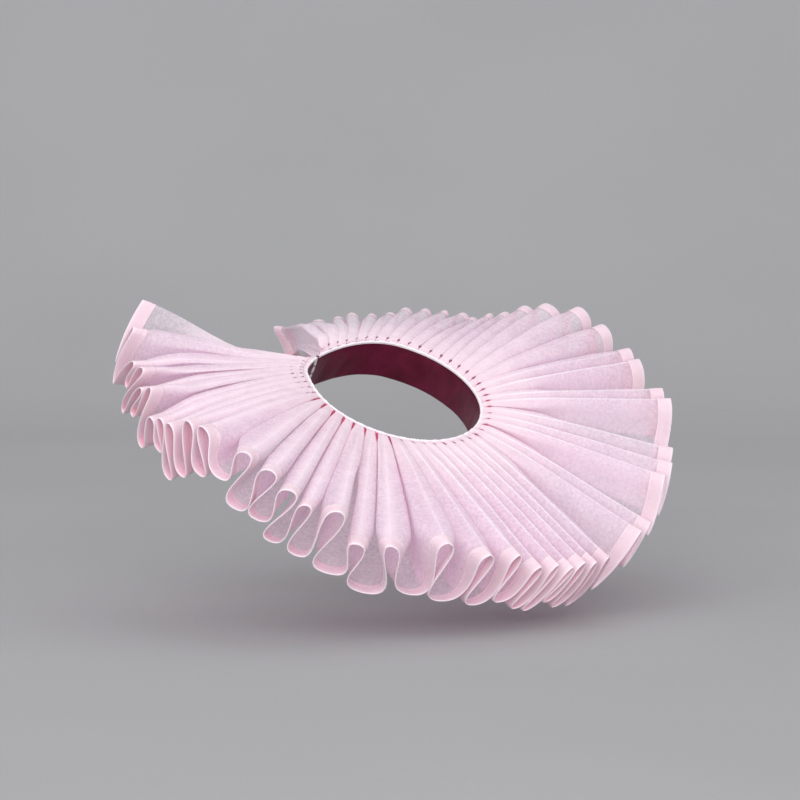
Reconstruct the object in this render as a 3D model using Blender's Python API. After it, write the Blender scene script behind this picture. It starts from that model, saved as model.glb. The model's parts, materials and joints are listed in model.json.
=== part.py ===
"""Ruff collar: a deep frill of pleated organza edged with folded ribbon, on a satin neckband.

Metres, +Z up. The wearer faces -Y and the wearer's left is +X. The origin is the centre of the
neckline circle. The neckline lies in a plane tipped forward by TILT, and the collar opens at the back.
"""
import bpy
import bmesh
import math
from mathutils import Vector

MM = 0.001

# ---- driving sizes, mm and degrees ------------------------------------------------------------
TILT = 30.0              # forward tip of the neckline plane
NECK_RADIUS = 68.5       # circle of the frill's gathered edge
REACH_RADIUS = 71.5      # circle that the table's reaches are measured from
NECK_DIP = 8.0           # how far the neckline drops at its two ends
DIP_RUN = 40.0           # angle over which it drops, at each end
PLEATS = 52.5            # whole pleats in the frill, first cut end to last
OPEN_START = -147.0      # angle of the first cut end, 0 is the front and + the wearer's left
NECK_SPAN = 356.4        # angle that the gathered edge covers
NECK_WAVE = 1.9          # half height of the pleats where they are gathered
RIBBON_WIDTH = 11.0      # edge binding, seen width
SEAM_GAP = 0.35          # gap kept between the organza and its ribbon
FRILL_WALL = 1.0         # organza, thickened to a wall
RIBBON_WALL = 1.6        # ribbon folded over the organza edge
BAND_RADIUS = 67.1       # middle of the neckband's wall
BAND_WALL = 1.0
BAND_TOP = -1.5          # along the neckline's axis
BAND_DEPTH = 30.0
BAND_FLARE = 2.0         # how much wider the band is at its lower edge
BAND_HEM = 0.5           # extra half thickness of the turned hem at the band's lower edge
ROLL_RADIUS = 66.9       # rolled binding along the neckline
ROLL_THICK = 2.0
WIRE = 1.0               # hook and eye
HOOK_DROP = -16.0        # where the hook and eye sit, along the neckline's axis

# ---- one row for each pleat, first cut end to last ------------------------------------------------
# neck: angle at the gathered edge. crest_* and trough_*: the outer edge at the top and the bottom of the
# fold, as angle, height over the neckline plane (mm), straight distance from REACH_RADIUS (mm), and how far
# the edge swings sideways at its turn (mm). bow: how far the cloth arches (mm).
COLUMNS = ("neck", "crest_deg", "crest_mm", "crest_reach", "crest_turn",
           "trough_deg", "trough_mm", "trough_reach", "trough_turn", "crest_bow", "trough_bow")
PLEAT_TABLE = (
    (-147, -132, -2, 132, 10, -124, -43, 146, 26, -15, -8),
    (-141, -119, -1, 135, 30, -120, -52, 146, 30, -4, -4),
    (-135, -109, -10, 136.5, 34, -112, -37, 136, 34, -2, -2),
    (-129, -102, 1, 136.5, 34, -109, -54, 139, 36, 0, 0),
    (-123, -99, -9, 136.5, 30, -101, -38, 136, 28, 1, 0),
    (-117, -94, 2, 136, 30, -94, -48, 138, 38, 2, 0),
    (-111, -90, -13, 137, 36, -86, -32, 137, 36, 3, 0),
    (-105, -86, -5, 137, 40, -81, -45, 139, 40, 3, 0),
    (-99, -82, 2, 139, 40, -76, -30, 139, 40, 3, 0),
    (-93, -77, 16, 140.5, 46, -71, -16, 139.5, 46, 4, 0),
    (-87, -73, 21, 140.5, 46, -66, -6, 142, 46, 4, -2),
    (-81, -62, 23, 142, 56, -61, -20, 142, 64, 3, -4),
    (-74, -56, 21, 142, 58, -56, -18, 142, 66, 3, -7),
    (-66, -51, 15, 142, 56, -52, -30, 142, 58, 3, -9),
    (-59, -47, 11, 142, 44, -47, -31, 142, 56, 3, -9),
    (-52, -41, 16, 142, 66, -40, -37, 142, 80, 3, -7),
    (-45, -36, -4, 142, 60, -32, -45, 142, 84, 3, -9),
    (-38, -30, 2, 142, 60, -23, -38, 142, 78, 3, -13),
    (-31, -20, 12, 142, 52, -17, -39, 142, 80, 3, -14),
    (-24, -11, 5, 142, 44, -10, -42, 142, 66, 3, -13),
    (-17, -5, 5, 142, 34, -5, -38, 142, 48, 3, -12),
    (-10, 1, -6, 142, 28, 0, -47, 142, 42, 3, -11),
    (-3, 5, -5, 142, 26, 3, -51, 142, 36, 3, -10),
    (4, 9, -10, 142, 26, 7, -44, 142, 34, 3, -9),
    (11, 12, -8, 142, 28, 12, -56, 142, 40, 3, -9),
    (18, 16, -12, 142, 28, 19, -65, 142, 40, 3, -8),
    (25, 20, -13, 142, 28, 25, -56, 142, 38, 3, -8),
    (32, 33, -11, 141, 28, 34, -45, 145, 36, 3, -7),
    (39, 39, -14, 142, 28, 40, -25, 145, 32, 3, -6),
    (46, 46, 13, 138, 28, 44, -16, 145, 36, 3, -5),
    (53, 51, 14, 141, 28, 50, -12, 142, 36, 3, -4),
    (61, 57, 15, 141, 30, 61, -4, 142, 36, 3, -3),
    (67, 69, 31, 142, 34, 69, -4, 142, 36, 3, -3),
    (73, 75, 26, 142, 36, 78, -10, 142, 40, 3, -3),
    (78, 86, 26, 141, 44, 84, -12, 141, 40, 4, -2),
    (84, 90, 26, 141, 44, 92, -14, 141, 42, 4, -2),
    (90, 99, 26, 141, 58, 99, -16, 141, 44, 4, -2),
    (96, 106, 26, 141, 64, 108, -20, 141, 46, 4, -2),
    (103, 114, 12, 141, 70, 115, -32, 141, 46, 4, -2),
    (110, 119, 0, 141, 58, 120, -42, 141, 42, 4, -2),
    (117, 123, -14, 141, 40, 124, -52, 141, 34, 4, -2),
    (124, 126, -21, 141, 34, 127, -60, 141, 30, 4, -2),
    (132, 129, -29, 141, 40, 131, -66, 141, 36, 4, -2),
    (139, 132, -31, 141, 42, 134, -69, 141, 32, 4, -2),
    (146, 136, -34, 141, 42, 138, -72, 141, 32, 4, -2),
    (153, 140, -37, 141, 42, 142, -75, 141, 32, 4, -2),
    (160, 144, -40, 141, 42, 146, -78, 141, 32, 4, -2),
    (167, 148, -44, 141, 42, 150, -81, 141, 32, 4, -2),
    (173, 152, -48, 141, 42, 154, -84, 141, 32, 4, -2),
    (180, 156, -52, 141, 42, 158, -86, 141, 32, 4, -2),
    (187, 160, -56, 141, 42, 162, -87, 141, 34, 7, 1),
    (194, 165, -60, 141, 42, 170, -84, 139, 36, 10, 5),
    (201, 176, -64, 141, 44, 176, -83, 138, 20, 14, 8),
)
TURN_STEPS = (0.0, 0.17, 0.5, 0.83)     # where the edge curve is cut between a crest and a trough
BODY_ROW = 0.45                          # the one row of points between neck and ribbon

# ---- frame ---------------------------------------------------------------------------------------
_t = math.radians(TILT)
AXIS = Vector((0.0, -math.sin(_t), math.cos(_t)))        # up out of the neckline plane
FRONT = Vector((0.0, -math.cos(_t), -math.sin(_t)))      # to the wearer's front, in that plane
SIDE = Vector((1.0, 0.0, 0.0))                           # to the wearer's left


def around(deg):
    """unit vector out from the neck's axis at an angle from the front"""
    a = math.radians(deg)
    return SIDE * math.sin(a) + FRONT * math.cos(a)


def on_neck(deg, radius, height):
    return around(deg) * radius + AXIS * height


def neck_dip(deg):
    """drop of the neckline at this angle, near its two ends"""
    first = (OPEN_START + DIP_RUN + 7.0 - deg) / DIP_RUN
    last = (deg - (OPEN_START + NECK_SPAN - DIP_RUN * 1.5)) / (DIP_RUN * 1.5)
    s = min(max(first, last, 0.0), 1.0)
    return -NECK_DIP * s * s * (3 - 2 * s)


def pleat(i):
    return dict(zip(COLUMNS, PLEAT_TABLE[i]))


def stations():
    """each crest and trough in turn: neck angle, neck height, edge angle, edge height, reach, turn, bow"""
    rows = []
    for i in range(len(PLEAT_TABLE)):
        p = pleat(i)
        last = i + 1 == len(PLEAT_TABLE)
        end = OPEN_START + NECK_SPAN
        after = end + (end - p["neck"]) if last else pleat(i + 1)["neck"]
        start = OPEN_START if i == 0 else p["neck"]
        rows.append((start, NECK_WAVE, p["crest_deg"], p["crest_mm"], p["crest_reach"],
                     p["crest_turn"], p["crest_bow"]))
        rows.append(((p["neck"] + after) / 2, -NECK_WAVE, p["trough_deg"], p["trough_mm"], p["trough_reach"],
                     p["trough_turn"], p["trough_bow"]))
    return rows


EDGE_RADIUS = 200.0      # turns an angle at the edge into a length along it


def edge_at(a, b, s):
    """angle, height and reach at the part s of the way from one station to the next"""
    ease = s * s * (3 - 2 * s)
    along = a[2] * (1 - ease) + b[2] * ease
    swing = a[5] * s * (1 - s) ** 2 - b[5] * s * s * (1 - s)
    deg = along + math.degrees(swing / EDGE_RADIUS)
    return deg, a[3] * (1 - ease) + b[3] * ease, a[4] * (1 - ease) + b[4] * ease


def edge_point(neck_deg, deg, height, reach):
    """the point of the outer edge at this angle and height that lies at its reach from the neck"""
    d = math.radians(deg - neck_deg)
    flat = reach * reach - height * height - (REACH_RADIUS * math.sin(d)) ** 2
    return on_neck(deg, REACH_RADIUS * math.cos(d) + math.sqrt(max(flat, 1.0)), height)


def columns():
    """neck point, edge point, crest bow and trough bow of each column of the frill"""
    out = []
    st = stations()
    for i in range(len(st)):
        last = i + 1 == len(st)
        a = st[i]
        b = a if last else st[i + 1]
        for s in (TURN_STEPS[:1] if last else TURN_STEPS):
            ease = s * s * (3 - 2 * s)
            neck_deg = a[0] * (1 - s) + b[0] * s
            neck = on_neck(neck_deg, NECK_RADIUS, a[1] * (1 - ease) + b[1] * ease + neck_dip(neck_deg))
            deg, height, reach = edge_at(a, b, s)
            arch, sag = (a[6] * (1 - ease), b[6] * ease) if i % 2 == 0 else (b[6] * ease, a[6] * (1 - ease))
            out.append((neck, edge_point(neck_deg, deg, height, reach), arch, sag))
    return out


def cloth_point(col, v):
    """a point of the cloth, v from 0 at the neck to 1 at the edge"""
    neck, edge, arch, sag = col
    return neck.lerp(edge, v) + AXIS * (6.75 * v * (1 - v) * ((1 - v) * arch + v * sag))


# ---- walls --------------------------------------------------------------------------------------
def corner_normal(grid, i, j):
    """mean normal of the faces that meet at a grid point, lengthened so that the wall keeps its thickness"""
    rows, cols = len(grid), len(grid[0])
    normals = []
    for di in (-1, 0):
        for dj in (-1, 0):
            a, b = i + di, j + dj
            if 0 <= a and a + 1 < rows and 0 <= b and b + 1 < cols:
                p, q, r, s = grid[a][b], grid[a + 1][b], grid[a + 1][b + 1], grid[a][b + 1]
                n = (r - p).cross(s - q)
                if n.length > 1e-9:
                    normals.append(n.normalized())
    mean = Vector((0.0, 0.0, 0.0))
    for n in normals:
        mean += n
    mean.normalize()
    spread = min(max(mean.dot(n), 0.0) for n in normals)
    return mean / max(spread, 0.85)


def wall(grid, outward, thickness):
    """closed wall about a grid of points: two skins and a rim"""
    rows, cols = len(grid), len(grid[0])
    half = thickness / 2
    verts, faces = [], []
    for side in (1, -1):
        for i in range(rows):
            for j in range(cols):
                verts.append(grid[i][j] + outward[i][j] * (half * side))

    def at(side, i, j):
        return side * rows * cols + i * cols + j
    for i in range(rows - 1):
        for j in range(cols - 1):
            faces.append((at(0, i, j), at(0, i + 1, j), at(0, i + 1, j + 1), at(0, i, j + 1)))
            faces.append((at(1, i, j), at(1, i, j + 1), at(1, i + 1, j + 1), at(1, i + 1, j)))
    for j in range(cols - 1):
        faces.append((at(0, 0, j), at(0, 0, j + 1), at(1, 0, j + 1), at(1, 0, j)))
        k = rows - 1
        faces.append((at(0, k, j), at(1, k, j), at(1, k, j + 1), at(0, k, j + 1)))
    for i in range(rows - 1):
        faces.append((at(0, i, 0), at(1, i, 0), at(1, i + 1, 0), at(0, i + 1, 0)))
        k = cols - 1
        faces.append((at(0, i, k), at(0, i + 1, k), at(1, i + 1, k), at(1, i, k)))
    return verts, faces


def tube(rings):
    """closed solid through rings of points, with flat ends"""
    n = len(rings[0])
    verts = [p for ring in rings for p in ring]
    faces = []
    for i in range(len(rings) - 1):
        for j in range(n):
            k = (j + 1) % n
            faces.append((i * n + j, i * n + k, (i + 1) * n + k, (i + 1) * n + j))
    faces.append(tuple(range(n - 1, -1, -1)))
    faces.append(tuple((len(rings) - 1) * n + j for j in range(n)))
    return verts, faces


def wire(path, radius, sides=6):
    """round wire through points; the section follows the path without twisting"""
    rings = []
    ref = AXIS.copy()
    for i in range(len(path)):
        a = path[max(i - 1, 0)]
        b = path[min(i + 1, len(path) - 1)]
        t = (b - a).normalized()
        u = ref - t * ref.dot(t)
        if u.length < 0.2:
            u = around(OPEN_START) - t * around(OPEN_START).dot(t)
        u.normalize()
        w = t.cross(u)
        ref = u
        before = (path[i] - a).normalized() if i else t
        stretch = 1.0 / max(before.dot(t), 0.8)
        rings.append([path[i] + (u * math.cos(q) + w * math.sin(q)) * (radius * stretch)
                      for q in (2 * math.pi * k / sides for k in range(sides))])
    return tube(rings)


def add_object(name, geometry, material, smooth=False):
    verts, faces = geometry
    mesh = bpy.data.meshes.new(name)
    mesh.from_pydata([tuple(p * MM) for p in verts], [], faces)
    mesh.update()
    bm = bmesh.new()
    bm.from_mesh(mesh)
    bmesh.ops.triangulate(bm, faces=bm.faces[:])
    bmesh.ops.recalc_face_normals(bm, faces=bm.faces[:])
    if bm.calc_volume(signed=True) < 0:
        bmesh.ops.reverse_faces(bm, faces=bm.faces[:])
    bm.to_mesh(mesh)
    bm.free()
    for poly in mesh.polygons:
        poly.use_smooth = smooth
    mesh.materials.append(material)
    obj = bpy.data.objects.new(name, mesh)
    bpy.context.collection.objects.link(obj)
    return obj


def fabric(name, colour, roughness, sheen=0.0, metallic=0.0, alpha=1.0):
    mat = bpy.data.materials.new(name)
    mat.use_nodes = True
    bsdf = mat.node_tree.nodes["Principled BSDF"]
    bsdf.inputs["Base Color"].default_value = (*colour, 1.0)
    bsdf.inputs["Roughness"].default_value = roughness
    bsdf.inputs["Metallic"].default_value = metallic
    bsdf.inputs["Sheen Weight"].default_value = sheen
    bsdf.inputs["Alpha"].default_value = alpha
    mat.diffuse_color = (*colour, 1.0)
    return mat


# ---- pieces -------------------------------------------------------------------------------------
for old in list(bpy.data.objects):
    bpy.data.objects.remove(old, do_unlink=True)

organza = fabric("pale_pink_organza", (0.86, 0.66, 0.74), 0.55, sheen=0.3)
ribbon = fabric("pale_pink_ribbon", (0.95, 0.72, 0.76), 0.5, sheen=0.3)
satin = fabric("burgundy_satin", (0.16, 0.01, 0.04), 0.35, sheen=0.2)
roll_cloth = fabric("pink_roll_satin", (0.93, 0.68, 0.73), 0.4, sheen=0.2)
steel = fabric("plated_wire", (0.62, 0.62, 0.64), 0.3, metallic=1.0)

cols = columns()
lengths = [(c[1] - c[0]).length for c in cols]


def row(inset=None, part=None):
    """the row of cloth points this far in from the edge (mm), or at this part of the way out from the neck"""
    if part is not None:
        return [cloth_point(c, part) for c in cols]
    return [cloth_point(c, 1 - inset / length) for c, length in zip(cols, lengths)]


def outward(near_rows, i):
    """directions that the wall is thickened in along one row, from the cloth close by on each side"""
    return [corner_normal(near_rows, i, j) for j in range(len(cols))]


NEAR = 0.05              # how far to each side the cloth is felt for its direction
out_neck = outward([row(part=0.0), row(part=NEAR)], 0)
out_body = outward([row(part=BODY_ROW - NEAR), row(part=BODY_ROW), row(part=BODY_ROW + NEAR)], 1)
out_seam = outward([row(RIBBON_WIDTH * 1.5), row(RIBBON_WIDTH), row(RIBBON_WIDTH * 0.5)], 1)
out_edge = outward([row(RIBBON_WIDTH * 0.5), row(0.0)], 1)

# frill: pleated organza, from the gathered edge to a small gap short of the ribbon
add_object("frill", wall([row(part=0.0), row(part=BODY_ROW), row(RIBBON_WIDTH + SEAM_GAP)],
                         [out_neck, out_body, out_seam], FRILL_WALL), organza)

# edge binding: ribbon folded over the organza edge, following every pleat
add_object("edge_binding", wall([row(RIBBON_WIDTH), row(0.0)], [out_seam, out_edge], RIBBON_WALL), ribbon)

# neckband: satin, hangs inside the gathered edge and flares a little to its hem
BAND_STEPS = 48
band_end = OPEN_START + NECK_SPAN
band_angles = [OPEN_START + (band_end - OPEN_START) * i / BAND_STEPS for i in range(BAND_STEPS + 1)]
band_section = (
    (BAND_RADIUS - BAND_WALL / 2, BAND_TOP),
    (BAND_RADIUS + BAND_WALL / 2, BAND_TOP),
    (BAND_RADIUS + BAND_FLARE * 0.85 + BAND_WALL / 2, BAND_TOP - BAND_DEPTH + 4.5),
    (BAND_RADIUS + BAND_FLARE + BAND_WALL / 2 + BAND_HEM, BAND_TOP - BAND_DEPTH + 3.5),
    (BAND_RADIUS + BAND_FLARE + BAND_WALL / 2 + BAND_HEM, BAND_TOP - BAND_DEPTH),
    (BAND_RADIUS + BAND_FLARE - BAND_WALL / 2, BAND_TOP - BAND_DEPTH),
)
add_object("neckband", tube([[on_neck(a, r, h + neck_dip(a)) for r, h in band_section] for a in band_angles]), satin)

# neck binding: a roll of cloth along the neckline
ROLL_SIDES = 6
ROLL_STEPS = 60
roll_angles = [OPEN_START + (band_end - OPEN_START) * i / ROLL_STEPS for i in range(ROLL_STEPS + 1)]
roll_rings = []
for a in roll_angles:
    ring = []
    for k in range(ROLL_SIDES):
        q = 2 * math.pi * (k + 0.5) / ROLL_SIDES
        ring.append(on_neck(a, ROLL_RADIUS + ROLL_THICK / 2 * math.cos(q),
                            ROLL_THICK / 2 * math.sin(q) + neck_dip(a)))
    roll_rings.append(ring)
add_object("neck_binding", tube(roll_rings), roll_cloth, smooth=True)

# hook and eye: one wire fastening on the band's outer face, across the opening
gap_mid = OPEN_START - (360 - NECK_SPAN) / 2
OUT = around(gap_mid)
ACROSS = SIDE * math.cos(math.radians(gap_mid)) - FRONT * math.sin(math.radians(gap_mid))
band_face = BAND_RADIUS + BAND_WALL / 2 + BAND_FLARE * 0.5


def fastening(points):
    """points as (across the opening, along the axis, off the band's face), mm"""
    drop = HOOK_DROP + neck_dip(gap_mid)
    return [OUT * (band_face + off) + ACROSS * x + AXIS * (drop + z) for x, z, off in points]


HOOK_PATH = ((9.5, 2.2, 1.4), (5.0, 1.0, 1.2), (0.0, 0.6, 1.3), (-3.2, 0.6, 1.8), (-4.0, 0.6, 2.9),
             (-3.0, 0.6, 4.0), (0.4, 0.6, 4.3))
EYE_PATH = ((-10.5, 3.6, 1.4), (-6.0, 3.6, 1.6), (-2.2, 3.2, 2.8), (-1.2, 0.6, 2.8), (-2.2, -2.4, 2.8),
            (-6.0, -3.0, 1.6), (-10.5, -3.0, 1.4))
add_object("hook", wire(fastening(HOOK_PATH), WIRE / 2), steel, smooth=True)
add_object("eye", wire(fastening(EYE_PATH), WIRE / 2), steel, smooth=True)
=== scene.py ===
import bpy
import json
import math
import numpy as np
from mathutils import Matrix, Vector

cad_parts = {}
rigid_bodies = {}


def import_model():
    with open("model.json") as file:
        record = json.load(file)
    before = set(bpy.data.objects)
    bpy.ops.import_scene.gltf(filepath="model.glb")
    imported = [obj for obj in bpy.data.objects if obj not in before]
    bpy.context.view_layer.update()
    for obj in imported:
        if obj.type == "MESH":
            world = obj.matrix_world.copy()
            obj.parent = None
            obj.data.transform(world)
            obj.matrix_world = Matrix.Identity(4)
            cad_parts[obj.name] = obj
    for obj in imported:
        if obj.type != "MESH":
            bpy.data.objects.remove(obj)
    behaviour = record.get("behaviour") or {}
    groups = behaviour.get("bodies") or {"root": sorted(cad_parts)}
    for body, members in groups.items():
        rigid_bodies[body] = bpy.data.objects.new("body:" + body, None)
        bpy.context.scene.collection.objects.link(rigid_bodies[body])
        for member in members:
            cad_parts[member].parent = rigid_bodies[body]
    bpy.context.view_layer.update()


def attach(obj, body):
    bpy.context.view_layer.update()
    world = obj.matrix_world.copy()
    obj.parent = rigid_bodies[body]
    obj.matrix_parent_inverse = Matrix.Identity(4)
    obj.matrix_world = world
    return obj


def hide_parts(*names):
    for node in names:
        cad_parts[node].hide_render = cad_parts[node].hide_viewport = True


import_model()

MM = 0.001

# ---------------------------------------------------------------------------------------------
# Sizes, mm and degrees. The same frame and the same fold table as the CAD.
# ---------------------------------------------------------------------------------------------
TILT = 30.0
NECK_RADIUS = 68.5
REACH_RADIUS = 71.5
NECK_DIP = 8.0
DIP_RUN = 40.0
OPEN_START = -147.0
NECK_SPAN = 356.4
RIBBON_WIDTH = 11.0
EDGE_RADIUS = 200.0

COLUMNS = ("neck", "crest_deg", "crest_mm", "crest_reach", "crest_turn",
           "trough_deg", "trough_mm", "trough_reach", "trough_turn", "crest_bow", "trough_bow")
PLEAT_TABLE = (
    (-147, -132, -2, 132, 10, -124, -43, 146, 26, -15, -8),
    (-141, -119, -1, 135, 30, -120, -52, 146, 30, -4, -4),
    (-135, -109, -10, 136.5, 34, -112, -37, 136, 34, -2, -2),
    (-129, -102, 1, 136.5, 34, -109, -54, 139, 36, 0, 0),
    (-123, -99, -9, 136.5, 30, -101, -38, 136, 28, 1, 0),
    (-117, -94, 2, 136, 30, -94, -48, 138, 38, 2, 0),
    (-111, -90, -13, 137, 36, -86, -32, 137, 36, 3, 0),
    (-105, -86, -5, 137, 40, -81, -45, 139, 40, 3, 0),
    (-99, -82, 2, 139, 40, -76, -30, 139, 40, 3, 0),
    (-93, -77, 16, 140.5, 46, -71, -16, 139.5, 46, 4, 0),
    (-87, -73, 21, 140.5, 46, -66, -6, 142, 46, 4, -2),
    (-81, -62, 23, 142, 56, -61, -20, 142, 64, 3, -4),
    (-74, -56, 21, 142, 58, -56, -18, 142, 66, 3, -7),
    (-66, -51, 15, 142, 56, -52, -30, 142, 58, 3, -9),
    (-59, -47, 11, 142, 44, -47, -31, 142, 56, 3, -9),
    (-52, -41, 16, 142, 66, -40, -37, 142, 80, 3, -7),
    (-45, -36, -4, 142, 60, -32, -45, 142, 84, 3, -9),
    (-38, -30, 2, 142, 60, -23, -38, 142, 78, 3, -13),
    (-31, -20, 12, 142, 52, -17, -39, 142, 80, 3, -14),
    (-24, -11, 5, 142, 44, -10, -42, 142, 66, 3, -13),
    (-17, -5, 5, 142, 34, -5, -38, 142, 48, 3, -12),
    (-10, 1, -6, 142, 28, 0, -47, 142, 42, 3, -11),
    (-3, 5, -5, 142, 26, 3, -51, 142, 36, 3, -10),
    (4, 9, -10, 142, 26, 7, -44, 142, 34, 3, -9),
    (11, 12, -8, 142, 28, 12, -56, 142, 40, 3, -9),
    (18, 16, -12, 142, 28, 19, -65, 142, 40, 3, -8),
    (25, 20, -13, 142, 28, 25, -56, 142, 38, 3, -8),
    (32, 33, -11, 141, 28, 34, -45, 145, 36, 3, -7),
    (39, 39, -14, 142, 28, 40, -25, 145, 32, 3, -6),
    (46, 46, 13, 138, 28, 44, -16, 145, 36, 3, -5),
    (53, 51, 14, 141, 28, 50, -12, 142, 36, 3, -4),
    (61, 57, 15, 141, 30, 61, -4, 142, 36, 3, -3),
    (67, 69, 31, 142, 34, 69, -4, 142, 36, 3, -3),
    (73, 75, 26, 142, 36, 78, -10, 142, 40, 3, -3),
    (78, 86, 26, 141, 44, 84, -12, 141, 40, 4, -2),
    (84, 90, 26, 141, 44, 92, -14, 141, 42, 4, -2),
    (90, 99, 26, 141, 58, 99, -16, 141, 44, 4, -2),
    (96, 106, 26, 141, 64, 108, -20, 141, 46, 4, -2),
    (103, 114, 12, 141, 70, 115, -32, 141, 46, 4, -2),
    (110, 119, 0, 141, 58, 120, -42, 141, 42, 4, -2),
    (117, 123, -14, 141, 40, 124, -52, 141, 34, 4, -2),
    (124, 126, -21, 141, 34, 127, -60, 141, 30, 4, -2),
    (132, 129, -29, 141, 40, 131, -66, 141, 36, 4, -2),
    (139, 132, -31, 141, 42, 134, -69, 141, 32, 4, -2),
    (146, 136, -34, 141, 42, 138, -72, 141, 32, 4, -2),
    (153, 140, -37, 141, 42, 142, -75, 141, 32, 4, -2),
    (160, 144, -40, 141, 42, 146, -78, 141, 32, 4, -2),
    (167, 148, -44, 141, 42, 150, -81, 141, 32, 4, -2),
    (173, 152, -48, 141, 42, 154, -84, 141, 32, 4, -2),
    (180, 156, -52, 141, 42, 158, -86, 141, 32, 4, -2),
    (187, 160, -56, 141, 42, 162, -87, 141, 34, 7, 1),
    (194, 165, -60, 141, 42, 170, -84, 139, 36, 10, 5),
    (201, 176, -64, 141, 44, 176, -83, 138, 20, 14, 8),
)

_t = math.radians(TILT)
AXIS = np.array([0.0, -math.sin(_t), math.cos(_t)])
FRONT = np.array([0.0, -math.cos(_t), -math.sin(_t)])
SIDE = np.array([1.0, 0.0, 0.0])


def around(deg):
    a = np.radians(np.asarray(deg, float))[..., None]
    return SIDE * np.sin(a) + FRONT * np.cos(a)


def on_neck(deg, radius, height):
    r = np.asarray(radius, float)
    h = np.asarray(height, float)
    return around(deg) * r[..., None] + AXIS * h[..., None]


def neck_dip(deg):
    """drop of the neckline near its two ends"""
    deg = np.asarray(deg, float)
    first = (OPEN_START + DIP_RUN + 7.0 - deg) / DIP_RUN
    last = (deg - (OPEN_START + NECK_SPAN - DIP_RUN * 1.5)) / (DIP_RUN * 1.5)
    s = np.clip(np.maximum(first, last), 0, 1)
    return -NECK_DIP * s * s * (3 - 2 * s)


# ---------------------------------------------------------------------------------------------
# The cloth as a smooth function of t (half pleats from the first cut end) and of the way out
# ---------------------------------------------------------------------------------------------
def _stations():
    rows = []
    for i in range(len(PLEAT_TABLE)):
        p = dict(zip(COLUMNS, PLEAT_TABLE[i]))
        end = OPEN_START + NECK_SPAN
        if i + 1 < len(PLEAT_TABLE):
            after = dict(zip(COLUMNS, PLEAT_TABLE[i + 1]))["neck"]
        else:
            after = end + (end - p["neck"])
        start = OPEN_START if i == 0 else p["neck"]
        rows.append((start, 1.0, p["crest_deg"], p["crest_mm"], p["crest_reach"], p["crest_turn"], p["crest_bow"]))
        rows.append(((p["neck"] + after) / 2, -1.0, p["trough_deg"], p["trough_mm"], p["trough_reach"],
                     p["trough_turn"], p["trough_bow"]))
    return np.array(rows, float)


ST = _stations()
HALVES = len(ST) - 1


def smooth_noise(x, seed, octaves=1):
    """even, repeatable noise from -1 to 1 along x"""
    x = np.asarray(x, float)
    out = np.zeros_like(x)
    amp = 1.0
    for o in range(octaves):
        i = np.floor(x)
        f = x - i
        f = f * f * (3 - 2 * f)

        def h(n):
            q = np.sin((n + seed * 17.13 + o * 5.7) * 12.9898) * 43758.5453
            return (q - np.floor(q)) * 2 - 1
        out += amp * (h(i) * (1 - f) + h(i + 1) * f)
        x = x * 2.03 + 11.7
        amp *= 0.5
    return out


def crease(pleat):
    """how sharply the crest of a pleat is pressed, 0 round to 1 knife edged"""
    return np.interp(pleat, (0, 17, 20, 34, 36), (0.15, 0.15, 0.6, 0.6, 0.1))


def frame_at(t):
    """neck angle, edge angle, edge height, reach, crest bow, trough bow and place within the half pleat"""
    t = np.clip(np.asarray(t, float), 0, HALVES - 1e-9)
    i = np.floor(t).astype(int)
    s = t - i
    a, b = ST[i], ST[i + 1]
    ease = s * s * (3 - 2 * s)
    # a pressed crest turns at once, a round one slowly
    q = crease(np.round(t / 2))
    w = np.where(i % 2 == 0, s, 1 - s)
    sharp = w + (ease_of(w) - w) * np.clip(w / 0.5, 0, 1)
    e = ease_of(w) * (1 - q) + sharp * q
    e = np.where(i % 2 == 0, e, 1 - e)
    deg = a[:, 2] * (1 - e) + b[:, 2] * e
    swing = a[:, 5] * s * (1 - s) ** 2 - b[:, 5] * s * s * (1 - s)
    deg = deg + np.degrees(swing / EDGE_RADIUS)
    height = a[:, 3] * (1 - e) + b[:, 3] * e
    reach = a[:, 4] * (1 - e) + b[:, 4] * e
    first, second = a[:, 6] * (1 - ease), b[:, 6] * ease
    arch = np.where(i % 2 == 0, first, second)
    sag = np.where(i % 2 == 0, second, first)
    neck = a[:, 0] * (1 - s) + b[:, 0] * s
    return neck, deg, height, reach, arch, sag, s


def ease_of(w):
    return w * w * (3 - 2 * w)


PER_HALF = 20            # columns of points in half a pleat


def hump(x, middle, half):
    return np.exp(-((x - middle) / half) ** 2)


def openings_at(out, pleat):
    """the small openings left between the gathers: two rows of dimples on the wearer's right, long slots in
    front, and short notches on the wearer's left and behind; each 0 to 1"""
    right = np.interp(pleat, (0, 9, 11, 60), (1, 1, 0, 0))
    front = np.interp(pleat, (9, 11, 17, 19), (0, 1, 1, 0))
    rest = np.interp(pleat, (17, 19), (0, 1))
    slot = np.interp(out, (0, 1.5, 3.2, 9.0, 14.0, 20.0), (0.1, 0.3, 1.0, 1.0, 0.6, 0))
    return right * hump(out, 4.2, 1.5), right * hump(out, 12.2, 1.9), front * slot, rest * hump(out, 4.4, 1.7)


def gap_wanted(out, pleat):
    """space left between two neighbouring folds this far out from the neck, mm"""
    first, second, slot, notch = openings_at(out, pleat)
    return 0.10 + 2.0 * first + 1.7 * second + 2.1 * slot + 2.2 * notch


def fold_flatness(pleat):
    """how far the folds spread flat against each other between the neck and the edge, 0 to 1"""
    return np.interp(pleat, (0, 2, 9, 11, 17, 20, 22, 34, 37, 52), (0.5, 0.9, 0.9, 0.8, 0.8, 0.3, 0.0, 0.0, 0.5, 0.5))


def steps(x):
    """smooth step from 0 to 1"""
    x = np.clip(x, 0, 1)
    return x * x * (3 - 2 * x)


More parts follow.
